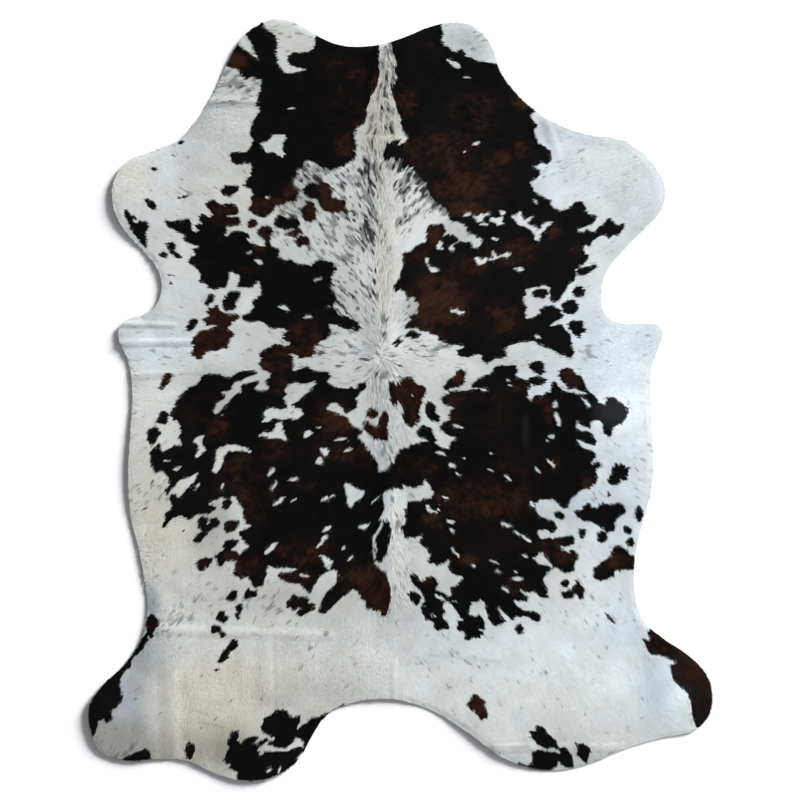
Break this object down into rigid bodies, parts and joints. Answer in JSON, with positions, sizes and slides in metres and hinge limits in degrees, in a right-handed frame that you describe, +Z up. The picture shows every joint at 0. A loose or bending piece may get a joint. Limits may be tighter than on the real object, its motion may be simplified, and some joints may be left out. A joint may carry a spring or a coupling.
{
  "type": "cowhide rug",
  "caption": "Whole tanned cowhide with its hair on, laid flat as a floor rug, with the natural outline of neck, legs and flanks.",
  "frame": {"origin": "on the floor under the middle of the hide's bounding box", "axes": "+Y towards the head end, +X to the right as the picture shows it from above, +Z up out of the hair side"},
  "size_m": [1.8742, 2.2882, 0.0152],
  "materials": {
    "hide": "short hair coat, soft sheen, white with black and brown markings"
  },
  "bodies": {
    "root": {"hide": "hide"}
  },
  "joints": []
}
